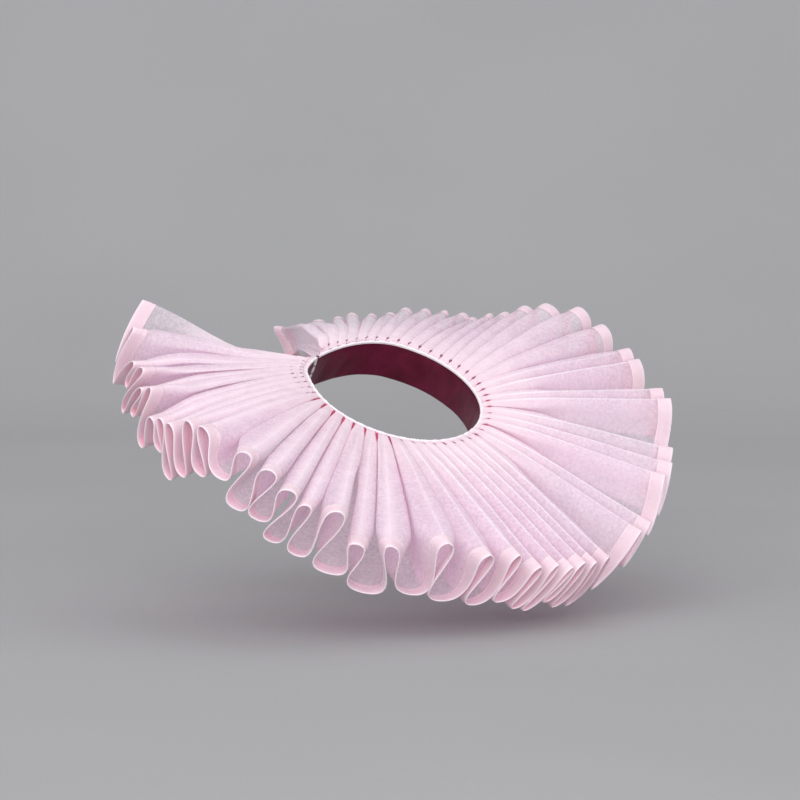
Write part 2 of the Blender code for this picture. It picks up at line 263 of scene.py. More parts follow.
def neck_profile(w, gap):
    """place across half a pleat, 0 at the crest and 1 at the trough, of a fold that stands over its neighbour"""
    up = np.clip(w / 0.30, 0, 1)
    down = np.clip((w - 0.30) / 0.42, 0, 1)
    under = np.clip((w - 0.72) / 0.28, 0, 1)
    top = (1 - gap) * np.sin(up * math.pi / 2) ** 1.1
    back = (0.42 - gap) * ease_of(down)
    return top - back + (0.42) * (under * (2 - under))


# along the last fold: mm out from the neck, mm up
LAST_BEND = ((0, 8, 17, 30, 45, 60, 68, 100, 120), (0, 1.0, 1.2, -2.4, -3.4, -1.8, 0.6, 0.8, 0))


class Cloth:
    """points of the frill at a list of stations t; at(out) takes mm out from the neck along each column"""

    def __init__(self, t):
        self.t = np.asarray(t, float)
        neck, deg, height, reach, arch, sag, s = frame_at(self.t)
        self.arch, self.sag, self.neck_deg, self.s = arch, sag, neck, s
        self.half = np.clip(np.floor(self.t), 0, HALVES - 1).astype(int)
        self.even = self.half % 2 == 0
        self.w = np.where(self.even, s, 1 - s)                    # 0 at the crest, 1 at the trough
        crest = np.where(self.even, self.half, self.half + 1)
        trough = np.where(self.even, self.half + 1, self.half)
        self.crest_neck, self.trough_neck = ST[crest, 0], ST[trough, 0]
        self.pleat = crest / 2.0
        back = np.interp(self.pleat, (39, 42), (0, 1))
        deg = deg + (0.25 + 0.45 * back) * smooth_noise(self.t * 1.7, 3)
        height = height + (0.7 + 2.0 * back) * smooth_noise(self.t * 1.3, 5)
        d = np.radians(deg - neck)
        flat = reach ** 2 - height ** 2 - (REACH_RADIUS * np.sin(d)) ** 2
        self.edge = on_neck(deg, REACH_RADIUS * np.cos(d) + np.sqrt(np.maximum(flat, 1.0)), height)
        self.sideways = SIDE * np.cos(np.radians(deg))[:, None] - FRONT * np.sin(np.radians(deg))[:, None]
        base = on_neck(neck, np.full_like(neck, NECK_RADIUS), neck_dip(neck))
        self.length = np.linalg.norm(self.edge - base, axis=1)
        self.tall = ST[crest, 3] - ST[trough, 3]                  # how far the edge falls from crest to trough
        tops = ST[0::2, 3]
        even_top = np.convolve(np.pad(tops, 2, mode="edge"), (0.15, 0.22, 0.26, 0.22, 0.15), "valid")
        share = np.interp(np.arange(len(tops)), (0, 1, 2, 8, 10, 17, 20), (0.0, 0.4, 0.9, 0.9, 0.5, 0.3, 0.0))
        self.level = ((even_top - tops) * share)[crest // 2]      # lifts or lowers a crest towards its neighbours
        self.uneven = smooth_noise(self.pleat * 3.7, 61)
        # the stiff edge spreads each trough open and narrows each crest, most in the open front loops
        across = (self.edge - base) / self.length[:, None]
        upper = np.cross(np.gradient(self.edge, axis=0), across)
        upper /= np.maximum(np.linalg.norm(upper, axis=1), 1e-9)[:, None]
        upper *= np.sign(np.mean((upper @ AXIS)[::2 * PER_HALF]))
        leg = 1 - np.clip(upper @ AXIS, -1, 1) ** 2
        much = np.interp(self.pleat, (0, 2, 8, 11, 19, 23, 28, 52), (0.0, 0.5, 0.6, 2.6, 2.6, 1.2, 0.6, 0.4))
        much = np.minimum(much, np.maximum(self.gaps(self.edge)[crest] / 2 - 1.1, 0))
        self.spread = -upper * (much * leg)[:, None]

    def gaps(self, p):
        """mm between the folds on the two sides of each trough, above it, and of each crest, below it"""
        x, y = p @ SIDE, p @ FRONT
        angle = np.unwrap(np.arctan2(x, y))
        first = np.arange(HALVES) * PER_HALF
        radius = np.add.reduceat(np.hypot(x, y), first) / np.diff(np.append(first, len(x)))
        out = np.zeros(HALVES + 1)
        for part, odd in ((self.w <= 0.62, 1), (self.w >= 0.38, 0)):
            high = np.maximum.reduceat(np.where(part, angle, -99), first)
            low = np.minimum.reduceat(np.where(part, angle, 99), first)
            gap = (low[1:] - high[:-1]) * (radius[1:] + radius[:-1]) / 2
            st = np.arange(1, HALVES)
            use = st % 2 == odd
            out[st[use]] = gap[use]
        return out

    def at(self, out):
        """out: mm from the neck, a number or one for each column"""
        out = np.broadcast_to(np.asarray(out, float), self.t.shape)
        v = out / self.length
        rise = neck_rise(out) * (1 + 0.15 * self.uneven)
        rise = rise * (1 - 0.35 * hump(out, 7.0, 1.6) * np.interp(self.pleat, (0, 9, 12), (1, 1, 0)))
        x = neck_profile(self.w, np.interp(self.pleat, (0, 9, 11, 17, 19, 52), (0.24, 0.24, 0.36, 0.36, 0.22, 0.22)))
        neck_deg = self.crest_neck + (self.trough_neck - self.crest_neck) * x
        z = 1 - 2 * steps((self.w - 0.28) / 0.44)
        z = np.where(z < 0, z * np.interp(out, (0, 1.7, 3.0), (0.2, 0.25, 1.0)), z)   # laid on the band's turned edge
        neck = on_neck(neck_deg, np.full_like(v, NECK_RADIUS), z * rise + neck_dip(neck_deg))
        p = neck * (1 - v)[:, None] + self.edge * v[:, None]
        p = p + AXIS * (6.75 * v * (1 - v) * ((1 - v) * self.arch + v * self.sag))[:, None]
        # the folds stay wide on the way in, so the gaps between them close before the neck
        first = np.arange(HALVES) * PER_HALF
        mean_out = np.append(out[first], out[-1])
        mean_v = np.append(v[first], v[-1])
        station = np.arange(HALVES + 1) / 2.0
        full = np.interp(station, (0, 1.5, 24, 27, 34, 37), (0, 1, 1, 0, 0, 0.7))
        full = full + (1 - full) * steps((60 - mean_out) / 34)
        opens = np.where(np.abs(station - 15.5) < 0.1, 0.46, 0.86)
        shut = steps((opens + 0.12 - mean_v) / 0.24) * full
        flat = fold_flatness(self.pleat) * steps((0.93 - v) / 0.34)
        drop = steps((self.w - 0.27) / 0.46) - ease_of(self.w)
        p = p - AXIS * (flat * drop * v * self.tall)[:, None]
        evens = steps((0.93 - v) / np.interp(self.pleat, (8, 10), (0.24, 0.42)))
        p = p + AXIS * (v * self.level * (1 - ease_of(self.w)) * evens)[:, None]
        b1 = 9.48 * self.w * (1 - self.w) ** 3
        b2 = 9.48 * self.w ** 3 * (1 - self.w)
        for _ in range(3):
            much = self.gaps(p) - gap_wanted(mean_out, station)
            much = np.where(mean_out < 24, much, np.maximum(much, 0))
            move = np.clip(much, -2.5, 60) / 2 * shut
            here, after = move[self.half], move[self.half + 1]
            wide = np.where(self.even, after * b1 - here * b2, after * b2 - here * b1)
            p = p + self.sideways * wide[:, None]
        # the last fold before the opening is bent sharply at two places and flares at its edge
        last = steps((self.t - 102.6) / 0.8)
        near = steps((self.t - 103.3) / 0.5) * (1 - steps((self.t - 104.0) / 0.8))
        dent = np.interp(out, LAST_BEND[0], LAST_BEND[1])
        flare = 4.0 * steps((v - 0.55) / 0.35) * (1 - v) / 0.09
        flare = np.minimum(flare, 4.0 * steps((v - 0.55) / 0.35))
        p = p + AXIS * (near * dent)[:, None] - self.sideways * (last * flare)[:, None]
        # fine creases that run out from the gathers and fade, and the slack of thin cloth
        fine = 0.30 * np.sin(self.t * 2 * math.pi * 1.5 + 2.0 * smooth_noise(self.t * 0.7, 8))
        fine = fine * np.exp(-((out - 18) / 16.0) ** 2)
        puff = 0.16 * np.sin(self.t * 2 * math.pi * 2.0 + 1.5 * self.uneven) * np.exp(-((out - 1.2) / 1.1) ** 2)
        slack = 0.5 * np.sin(v * math.pi) * smooth_noise(self.t * 1.1 + v * 1.2, 12)
        ripple = 0.22 * np.sin(v * math.pi) * smooth_noise(v * 7 + self.t * 0.6, 21)
        lip = np.clip(1 - (self.length - out) / 18.0, 0, 1) ** 2
        return p + AXIS * (fine + puff + slack + ripple)[:, None] + self.spread * lip[:, None]

    def inset(self, depth):
        return self.at(self.length - depth)


def neck_rise(out):
    """half height of the pleats close to the neck: pressed flat under the stitches, then springing up"""
    return np.interp(out, (0, 1.4, 2.8, 5.0, 9.0, 140), (0.45, 0.6, 1.4, 1.9, 2.0, 2.0))


def direction(cloth, out, step=0.4):
    """unit normals of the cloth at a row of points"""
    p = cloth.at(out)
    along = np.gradient(p, axis=0)
    o = np.broadcast_to(np.asarray(out, float), cloth.t.shape)
    inner = cloth.at(np.maximum(o - step, 0))
    outer = cloth.at(np.minimum(o + step, cloth.length))
    across = outer - inner
    n = np.cross(along, across)
    n /= np.maximum(np.linalg.norm(n, axis=1), 1e-9)[:, None]
    return n


# ---------------------------------------------------------------------------------------------
# Mesh helpers
# ---------------------------------------------------------------------------------------------
def grid_mesh(name, rows, uvs, close_rows=False, material=None):
    """rows: list of (n, 3) arrays in mm; uvs: list of (n, 2) arrays in metres of cloth"""
    n = len(rows[0])
    verts = np.concatenate(rows) * MM
    uv = np.concatenate(uvs)
    m = len(rows)
    i, j = np.meshgrid(np.arange(m if close_rows else m - 1), np.arange(n - 1), indexing="ij")
    k = (i + 1) % m
    quads = np.stack([i * n + j, k * n + j, k * n + j + 1, i * n + j + 1], -1).reshape(-1, 4)
    return raw_mesh(name, verts, quads, uv, material)


def raw_mesh(name, verts, faces, uv=None, material=None, smooth=True):
    mesh = bpy.data.meshes.new(name)
    faces = [tuple(int(x) for x in f) for f in faces]
    mesh.from_pydata([tuple(map(float, v)) for v in verts], [], faces)
    if uv is not None:
        layer = mesh.uv_layers.new(name="UVMap")
        idx = np.empty(len(mesh.loops), np.int32)
        mesh.loops.foreach_get("vertex_index", idx)
        layer.data.foreach_set("uv", np.asarray(uv, np.float32)[idx].ravel())
    mesh.polygons.foreach_set("use_smooth", [smooth] * len(mesh.polygons))
    mesh.update()
    obj = bpy.data.objects.new(name, mesh)
    bpy.context.collection.objects.link(obj)
    if material:
        mesh.materials.append(material)
    return obj


def tube(points, radius, sides=8, ref=None, cap=True):
    """verts and faces of a round wire through points (mm)"""
    p = np.asarray(points, float)
    tan = np.gradient(p, axis=0)
    tan /= np.linalg.norm(tan, axis=1)[:, None]
    u = np.array(ref if ref is not None else AXIS, float)
    verts = []
    for i in range(len(p)):
        w = u - tan[i] * u.dot(tan[i])
        if np.linalg.norm(w) < 1e-3:
            w = np.cross(tan[i], [1.0, 0.3, 0.2])
        u = w / np.linalg.norm(w)
        b = np.cross(tan[i], u)
        r = radius if np.isscalar(radius) else radius[i]
        for q in range(sides):
            a = 2 * math.pi * q / sides
            verts.append(p[i] + (u * math.cos(a) + b * math.sin(a)) * r)
    faces = []
    for i in range(len(p) - 1):
        for q in range(sides):
            k = (q + 1) % sides
            faces.append((i * sides + q, i * sides + k, (i + 1) * sides + k, (i + 1) * sides + q))
    if cap:
        faces.append(tuple(range(sides - 1, -1, -1)))
        faces.append(tuple((len(p) - 1) * sides + q for q in range(sides)))
    return np.array(verts), faces


def spline(points, per=10):
    """smooth path through a few points"""
    p = np.asarray(points, float)
    q = np.vstack([2 * p[0] - p[1], p, 2 * p[-1] - p[-2]])
    out = []
    for i in range(1, len(q) - 2):
        a, b, c, d = q[i - 1], q[i], q[i + 1], q[i + 2]
        for s in np.linspace(0, 1, per, endpoint=False):
            out.append(0.5 * (2 * b + (c - a) * s + (2 * a - 5 * b + 4 * c - d) * s * s
                              + (3 * b - a - 3 * c + d) * s ** 3))
    out.append(p[-1])
    return np.array(out)


def join_parts(name, parts, material, smooth=True):
    verts, faces, base = [], [], 0
    for v, f in parts:
        verts.append(v)
        faces += [tuple(x + base for x in q) for q in f]
        base += len(v)
    return raw_mesh(name, np.concatenate(verts) * MM, faces, None, material, smooth)


# ---------------------------------------------------------------------------------------------
# Materials
# ---------------------------------------------------------------------------------------------
def new_material(name, colour, roughness, sheen=0.0, sheen_tint=(1, 1, 1), metallic=0.0, alpha=1.0, specular=0.5):
    mat = bpy.data.materials.new(name)
    mat.use_nodes = True
    nt = mat.node_tree
    bsdf = nt.nodes["Principled BSDF"]
    bsdf.inputs["Base Color"].default_value = (*colour, 1)
    bsdf.inputs["Roughness"].default_value = roughness
    bsdf.inputs["Metallic"].default_value = metallic
    bsdf.inputs["Sheen Weight"].default_value = sheen
    bsdf.inputs["Sheen Roughness"].default_value = 0.45
    bsdf.inputs["Sheen Tint"].default_value = (*sheen_tint, 1)
    bsdf.inputs["Specular IOR Level"].default_value = specular
    bsdf.inputs["Alpha"].default_value = alpha
    return mat, nt, bsdf


def node(nt, kind, **values):
    n = nt.nodes.new(kind)
    for k, v in values.items():
        if k in n.inputs:
            n.inputs[k].default_value = v
        else:
            setattr(n, k, v)
    return n


def colour_mix(nt, fac, a, b):
    mix = nt.nodes.new("ShaderNodeMix")
    mix.data_type = "RGBA"
    if hasattr(fac, "is_linked") or hasattr(fac, "links"):
        nt.links.new(fac, mix.inputs["Factor"])
    else:
        mix.inputs["Factor"].default_value = fac
    for value, socket in ((a, mix.inputs[6]), (b, mix.inputs[7])):
        if isinstance(value, tuple):
            socket.default_value = (*value, 1)
        else:
            nt.links.new(value, socket)
    return mix.outputs[2]


def ramp(nt, fac, low, high, a=0.0, b=1.0):
    r = node(nt, "ShaderNodeMapRange")
    r.inputs["From Min"].default_value = low
    r.inputs["From Max"].default_value = high
    r.inputs["To Min"].default_value = a
    r.inputs["To Max"].default_value = b
    nt.links.new(fac, r.inputs["Value"])
    return r.outputs["Result"]


def weave(nt, warp_mm, weft_mm, coord="UV"):
    """height of a plain weave from the cloth's own coordinates, 0 to 1"""
    tc = node(nt, "ShaderNodeTexCoord")
    sep = node(nt, "ShaderNodeSeparateXYZ")
    nt.links.new(tc.outputs[coord], sep.inputs[0])

    def wave(sock, pitch_mm):
        mul = node(nt, "ShaderNodeMath", operation="MULTIPLY")
        nt.links.new(sock, mul.inputs[0])
        mul.inputs[1].default_value = 2 * math.pi / (pitch_mm * MM)
        sn = node(nt, "ShaderNodeMath", operation="SINE")
        nt.links.new(mul.outputs[0], sn.inputs[0])
        return sn.outputs[0]
    w = node(nt, "ShaderNodeMath", operation="MULTIPLY")
    nt.links.new(wave(sep.outputs[0], warp_mm), w.inputs[0])
    nt.links.new(wave(sep.outputs[1], weft_mm), w.inputs[1])
    return ramp(nt, w.outputs[0], -1, 1), tc


def noise(nt, tc, scale, detail=3, coord="Object", stretch=None):
    src = tc.outputs[coord]
    if stretch:
        mp = node(nt, "ShaderNodeMapping")
        mp.inputs["Scale"].default_value = stretch
        nt.links.new(src, mp.inputs["Vector"])
        src = mp.outputs[0]
    n = node(nt, "ShaderNodeTexNoise", Scale=scale, Detail=detail)
    nt.links.new(src, n.inputs["Vector"])
    return n.outputs["Fac"]


def bump(nt, bsdf, height, distance, strength=1.0, before=None):
    b = node(nt, "ShaderNodeBump")
    b.inputs["Distance"].default_value = distance
    b.inputs["Strength"].default_value = strength
    nt.links.new(height, b.inputs["Height"])
    if before:
        nt.links.new(before, b.inputs["Normal"])
    nt.links.new(b.outputs[0], bsdf.inputs["Normal"])
    return b.outputs[0]


# sheer organza: denser where it is gathered and where a fold is pressed; a painted highlight, paler, along each
# pressed fold; painted shade, deep rose, in the openings between the gathers
organza, nt, bsdf = new_material("organza_sheer", (0.92, 0.74, 0.86), 0.5, sheen=0.2,
                                 sheen_tint=(0.96, 0.90, 1.0), alpha=0.5, specular=0.3)
w, tc = weave(nt, 0.9, 0.9)
mottle = noise(nt, tc, 85, 4)
streak = noise(nt, tc, 6, 3, coord="UV", stretch=(60, 6, 1))
dense = node(nt, "ShaderNodeAttribute", attribute_name="gathered").outputs["Fac"]
crease_highlight_and_cover = node(nt, "ShaderNodeAttribute", attribute_name="pressed").outputs["Fac"]
painted_gather_shade = node(nt, "ShaderNodeAttribute", attribute_name="painted_gather_shade").outputs["Fac"]
c1 = colour_mix(nt, ramp(nt, mottle, 0.3, 0.7), (0.955, 0.785, 0.905), (0.97, 0.815, 0.925))
c2 = colour_mix(nt, ramp(nt, streak, 0.35, 0.7, 0.0, 0.35), c1, (0.97, 0.79, 0.89))
c3 = colour_mix(nt, dense, c2, (0.97, 0.79, 0.87))
# painted highlight: the cloth is coloured paler along the pressed crests and troughs
c4 = colour_mix(nt, crease_highlight_and_cover, c3, (0.98, 0.92, 0.97))
# painted shade: deep rose in the openings between the gathers near the neck, where the cloth is also made nearly
# opaque
c5 = colour_mix(nt, painted_gather_shade, c4, (0.95, 0.26, 0.46))
nt.links.new(c5, bsdf.inputs["Base Color"])
nt.links.new(ramp(nt, mottle, 0.3, 0.7, 0.44, 0.58), bsdf.inputs["Roughness"])


def add_up(nt, a, factor, b, clamp=False):
    """a times factor plus b"""
    m = node(nt, "ShaderNodeMath", operation="MULTIPLY_ADD", use_clamp=clamp)
    nt.links.new(a, m.inputs[0])
    m.inputs[1].default_value = factor
    nt.links.new(b, m.inputs[2])
    return m.outputs[0]


# a thin weave hides more when it is seen aslant, so its cover grows towards a fold's outline
slant = node(nt, "ShaderNodeLayerWeight", Blend=0.5).outputs["Facing"]
grain = noise(nt, tc, 420, 2)
cover = ramp(nt, mottle, 0.3, 0.7, 0.20, 0.28)
cover = add_up(nt, slant, 0.22, cover)
loose = ramp(nt, dense, 0.0, 1.0, 1.0, 0.25)
speck = node(nt, "ShaderNodeMath", operation="MULTIPLY")
nt.links.new(ramp(nt, grain, 0.3, 0.7), speck.inputs[0])
nt.links.new(loose, speck.inputs[1])
cover = add_up(nt, speck.outputs[0], 0.18, cover)
cover = add_up(nt, dense, 0.46, cover)
cover = add_up(nt, crease_highlight_and_cover, 0.30, cover)
cover = add_up(nt, painted_gather_shade, 0.6, cover, clamp=True)
nt.links.new(cover, bsdf.inputs["Alpha"])
b1 = bump(nt, bsdf, w, 0.00012, 0.4)
bump(nt, bsdf, streak, 0.0008, 0.3, b1)

# ribbon folded over the edge, with a painted highlight, paler, along its fold and painted shade, deeper pink, in its
# loops
ribbon, nt, bsdf = new_material("ribbon_woven", (0.94, 0.73, 0.80), 0.45, sheen=0.25, sheen_tint=(1, 0.93, 0.97))
w, tc = weave(nt, 0.7, 1.1)
fine = noise(nt, tc, 90, 3)
rim = node(nt, "ShaderNodeAttribute", attribute_name="rim").outputs["Fac"]
c1 = colour_mix(nt, ramp(nt, fine, 0.3, 0.7), (0.82, 0.615, 0.685), (0.86, 0.66, 0.73))
c2 = colour_mix(nt, ramp(nt, w, 0.0, 1.0, 0.0, 0.25), c1, (0.90, 0.74, 0.80))
shade_in_loops = node(nt, "ShaderNodeAttribute", attribute_name="painted_loop_shade").outputs["Fac"]
# painted shade: deeper pink inside the ribbon's loops and on its shaded sides
c3 = colour_mix(nt, shade_in_loops, c2, (0.95, 0.52, 0.61))
c4 = colour_mix(nt, rim, c3, (0.97, 0.84, 0.90))
nt.links.new(c4, bsdf.inputs["Base Color"])
nt.links.new(ramp(nt, fine, 0.3, 0.7, 0.38, 0.55), bsdf.inputs["Roughness"])
bump(nt, bsdf, w, 0.00015, 0.6)

# satin coloured a very dark burgundy: painted shade, the deep shadow inside the neck painted into its colour
satin, nt, bsdf = new_material("satin_painted_shade", (0.10, 0.004, 0.022), 0.38, sheen=0.1, sheen_tint=(0.9, 0.4, 0.6),
                               specular=0.3)
w, tc = weave(nt, 0.5, 2.5)
fine = noise(nt, tc, 60, 3)
c1 = colour_mix(nt, ramp(nt, fine, 0.3, 0.7), (0.075, 0.002, 0.014), (0.13, 0.006, 0.032))
nt.links.new(c1, bsdf.inputs["Base Color"])
nt.links.new(ramp(nt, fine, 0.3, 0.7, 0.32, 0.44), bsdf.inputs["Roughness"])
bump(nt, bsdf, w, 0.00008, 0.5)

# pale satin along the neckline
roll_satin, nt, bsdf = new_material("satin_pale", (0.98, 0.88, 0.92), 0.32, sheen=0.3)
w, tc = weave(nt, 0.6, 0.6)
fine = noise(nt, tc, 140, 3)
c1 = colour_mix(nt, ramp(nt, fine, 0.3, 0.7), (0.96, 0.84, 0.89), (0.99, 0.91, 0.95))
nt.links.new(c1, bsdf.inputs["Base Color"])
nt.links.new(ramp(nt, fine, 0.3, 0.7, 0.26, 0.4), bsdf.inputs["Roughness"])
bump(nt, bsdf, w, 0.0001, 0.5)

# sewing thread
thread, nt, bsdf = new_material("thread_pink", (0.95, 0.74, 0.80), 0.5, sheen=0.3)
tc = node(nt, "ShaderNodeTexCoord")
fine = noise(nt, tc, 900, 2)
c1 = colour_mix(nt, ramp(nt, fine, 0.3, 0.7), (0.92, 0.68, 0.75), (0.98, 0.80, 0.86))
nt.links.new(c1, bsdf.inputs["Base Color"])
bump(nt, bsdf, fine, 0.0001, 0.6)

# plated wire
wire_metal, nt, bsdf = new_material("wire_plated", (0.66, 0.66, 0.68), 0.28, metallic=1.0)
tc = node(nt, "ShaderNodeTexCoord")
fine = noise(nt, tc, 500, 3)
c1 = colour_mix(nt, ramp(nt, fine, 0.3, 0.7), (0.58, 0.58, 0.60), (0.72, 0.72, 0.74))
nt.links.new(c1, bsdf.inputs["Base Color"])
nt.links.new(ramp(nt, fine, 0.3, 0.7, 0.22, 0.36), bsdf.inputs["Roughness"])
bump(nt, bsdf, fine, 0.00004, 0.5)

# ---------------------------------------------------------------------------------------------
# Frill: one open skin of organza
# ---------------------------------------------------------------------------------------------
s_in = (1 - np.cos(np.linspace(0, math.pi, PER_HALF, endpoint=False))) / 2
t_all = np.append((np.arange(HALVES)[:, None] + s_in[None, :]).ravel(), HALVES - 1e-6)
cloth = Cloth(t_all)

edge_step = np.linalg.norm(np.diff(cloth.edge, axis=0), axis=1)
along_edge = np.concatenate([[0], np.cumsum(edge_step)]) * MM          # metres of cloth along the edge
CUT_LENGTH = float(along_edge[-1])


def from_crest(points):
    """mm along a row of the cloth from the nearest crest"""
    run = np.concatenate([[0], np.cumsum(np.linalg.norm(np.diff(points, axis=0), axis=1))])
    half = np.minimum(np.arange(len(points)) // PER_HALF, HALVES - 1)
    crest = np.where(half % 2 == 0, half, half + 1) * PER_HALF
    trough = np.where(half % 2 == 0, half + 1, half) * PER_HALF
    return np.abs(run - run[crest]), np.abs(run - run[trough])


def add_attribute(obj, name, values):
    layer = obj.data.attributes.new(name, "FLOAT", "POINT")
    layer.data.foreach_set("value", np.asarray(values, np.float32))


out_rows = [-0.8, 0.2, 1.4, 2.6, 3.8, 5.0, 6.4, 7.8, 9.2, 10.8, 12.4, 14.0, 16.0, 18.6, 22.0, 27.0, 34.0, 43.0, 54.0,
            66.0, 78.0, 90.0, 101.0, 111.0, 121.0]
rows = [cloth.at(o) for o in out_rows] + [cloth.inset(RIBBON_WIDTH + 1.0), cloth.inset(5.0)]
uv_rows = [np.stack([along_edge, np.full_like(along_edge, (o + 0.8) * MM)], 1) for o in out_rows + [131.0, 137.0]]
frill = grid_mesh("organza_frill", rows, uv_rows, material=organza)
outs = [np.full(len(t_all), o) for o in out_rows] + [cloth.length - RIBBON_WIDTH - 1.0, cloth.length - 5.0]
crease_highlight_and_cover, gather, painted_gather_shade_rows = [], [], []
for pts, o in zip(rows, outs):
    to_crest, to_trough = from_crest(pts)
    # painted highlight mask along each pressed crest, weaker along its trough; the same mask also thickens the cover
    k = crease(cloth.pleat) * np.interp(o, (6, 30), (0.2, 1.0))
    crease_highlight_and_cover.append(np.clip(k * 1.3 * np.exp(-(to_crest / 0.8) ** 2) + 0.5 * k * np.exp(-(to_trough / 0.8) ** 2), 0, 1))
    # two thicknesses lie close together along a round fold, so it looks dense and pale there
    doubled = 0.75 * np.exp(-(to_crest / 6.5) ** 2) * np.interp(cloth.pleat, (0, 1, 2, 17, 19), (0, 0, 1, 1, 0))
    near_neck = np.interp(o, (0, 12, 30, 50, 85), (1.0, 0.95, 0.75, 0.5, 0.15))
    near_neck = np.where(cloth.pleat < 1, np.interp(o, (0, 60, 88, 104), (1.0, 0.9, 0.6, 0.0)), near_neck)
    gather.append(np.maximum(near_neck, doubled))
    # painted shade mask: the dimples, slots and notches between the gathers, on the trough side of each fold
    first, second, slot, notch = openings_at(o, cloth.pleat)
    under = np.interp(o, (0, 1.0, 12, 18), (1.0, 1.0, 0.8, 0)) * np.interp(cloth.pleat, (9, 11, 17, 19), (0, 1, 1, 0))
    where = 1.0 * first + 0.75 * second + 1.25 * np.maximum(slot, under) + 1.1 * notch
    start = np.interp(cloth.pleat, (17, 19), (0.36, 0.22))
    painted_gather_shade_rows.append(np.clip(where, 0, 1) * steps((cloth.w - start) / 0.2))
add_attribute(frill, "pressed", np.concatenate(crease_highlight_and_cover))
add_attribute(frill, "gathered", np.concatenate(gather))
add_attribute(frill, "painted_gather_shade", np.concatenate(painted_gather_shade_rows))
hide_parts("frill")
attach(frill, "root")

# ---------------------------------------------------------------------------------------------
# Ribbon: one open strip folded over the organza's edge
# ---------------------------------------------------------------------------------------------
# how far in from the edge, and how far off the organza, from one long side round to the other
SECTION = ((11.0, 0.16), (10.8, 0.30), (9.5, 0.34), (8.8, 0.20), (8.1, 0.38), (6.0, 0.50), (3.4, 0.52), (1.4, 0.50),
           (0.5, 0.42), (0.12, 0.26), (0.0, 0.0))
SECTION = SECTION + tuple((d, -o) for d, o in reversed(SECTION[:-1]))
normal_edge = direction(cloth, cloth.length - 1.5)
normal_in = direction(cloth, cloth.length - 9.0)
pucker = 0.07 * np.sin(along_edge / (5.5 * MM) * 2 * math.pi) * (1 + 0.4 * smooth_noise(t_all * 3, 31))
rows, uv_rows = [], []
girth = 0.0
for i, (depth, off) in enumerate(SECTION):
    if i:
        girth += math.hypot(depth - SECTION[i - 1][0], off - SECTION[i - 1][1])
    mix = depth / RIBBON_WIDTH
    nrm = normal_edge * (1 - mix) + normal_in * mix
    nrm /= np.linalg.norm(nrm, axis=1)[:, None]
    wob = pucker * (1 if 0.5 < depth < 10.7 else 0.3)
    rows.append(cloth.inset(depth) + nrm * (off + wob)[:, None])
    uv_rows.append(np.stack([along_edge, np.full_like(along_edge, girth * MM)], 1))
edging = grid_mesh("ribbon_edge", rows, uv_rows, material=ribbon)
# painted highlight: the fold at the ribbon's outer edge, and faintly its other long side, coloured paler
rim_highlight = [np.full(len(t_all), math.exp(-(depth / 1.2) ** 2) + 0.2 * math.exp(-((depth - 10.9) / 0.4) ** 2))
        for depth, _ in SECTION]
add_attribute(edging, "rim", np.clip(np.concatenate(rim_highlight), 0, 1))
# painted shade: inside the tight loops light comes through the ribbon only, so it looks a deeper pink there; that
# deeper pink is painted into the ribbon's colour there, on the undersides of its legs and, more faintly, on the crest
# side of each pleat from about pleat 19 on
bend = np.gradient(np.gradient(cloth.edge, along_edge / MM, axis=0), along_edge / MM, axis=0)
toward = np.sum(bend * normal_in, axis=1)
kernel = np.hanning(9) / np.hanning(9).sum()
toward = np.convolve(np.pad(toward, 4, mode="edge"), kernel, "valid")
painted_loop_shade = []
upward = np.sign(np.mean((normal_in @ AXIS)[::2 * PER_HALF]))
for i, (depth, off) in enumerate(SECTION):
    inner = toward if off > 0 else -toward
    behind = np.interp(cloth.pleat, (18, 20), (0, 0.35)) * cloth.even * steps((cloth.w - 0.12) / 0.2)
    tight = steps((inner * 6.0 - 0.2) / 1.0) * np.interp(cloth.pleat, (9, 11, 19, 22), (1, 0.4, 0.4, 1))
    under = 0.4 * (off * upward < 0) * np.interp(cloth.pleat, (9, 11, 19, 22), (1, 0, 0, 1))
    painted_loop_shade.append(np.maximum(np.maximum(tight, under), behind) * (0.0 if depth < 0.5 else 1.0))
add_attribute(edging, "painted_loop_shade", np.concatenate(painted_loop_shade))
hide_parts("edge_binding")
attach(edging, "root")

# stitches that hold the ribbon down, on both faces
STITCH = 2.4
PITCH = 3.4
count = int(CUT_LENGTH / (PITCH * MM)) - 2
parts = []
centre_line = cloth.inset(8.8)
for side in (1, -1):
    line = centre_line + normal_in * (side * 0.26)
    for q in range(count):
        a = (q + 0.8) * PITCH * MM
        pos = [np.array([np.interp(a + f * STITCH * MM, along_edge, line[:, c]) for c in range(3)])
               for f in (0, 0.33, 0.67, 1)]
        nr = np.array([np.interp(a, along_edge, normal_in[:, c]) for c in range(3)]) * side
        pos[0] = pos[0] - nr * 0.12
        pos[3] = pos[3] - nr * 0.12
        parts.append(tube(pos, 0.17, 4, ref=nr))
stitches = join_parts("ribbon_stitches", parts, thread)
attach(stitches, "root")

# ---------------------------------------------------------------------------------------------
# Neckband: satin, turned out under the pleats, down inside the neck and up again as a hem
# ---------------------------------------------------------------------------------------------
BAND_RADIUS = 67.1
BAND_STEPS = 400
band_angle = np.linspace(OPEN_START, OPEN_START + NECK_SPAN, BAND_STEPS)
trough_rows = ST[1::2]
trough_neck = trough_rows[:, 0]
mid_deg = np.interp(band_angle, ST[:, 0], ST[:, 2])
mid_h = np.interp(band_angle, ST[:, 0], np.convolve(np.pad(ST[:, 3], 3, mode="edge"), np.ones(7) / 7, "valid"))
mid_d = np.radians(mid_deg - band_angle)
mid_edge = on_neck(mid_deg, REACH_RADIUS * np.cos(mid_d) + np.sqrt(141.0 ** 2 - mid_h ** 2
                                                                  - (REACH_RADIUS * np.sin(mid_d)) ** 2), mid_h)
neck_pt = on_neck(band_angle, np.full(BAND_STEPS, NECK_RADIUS - 0.5), neck_dip(band_angle))


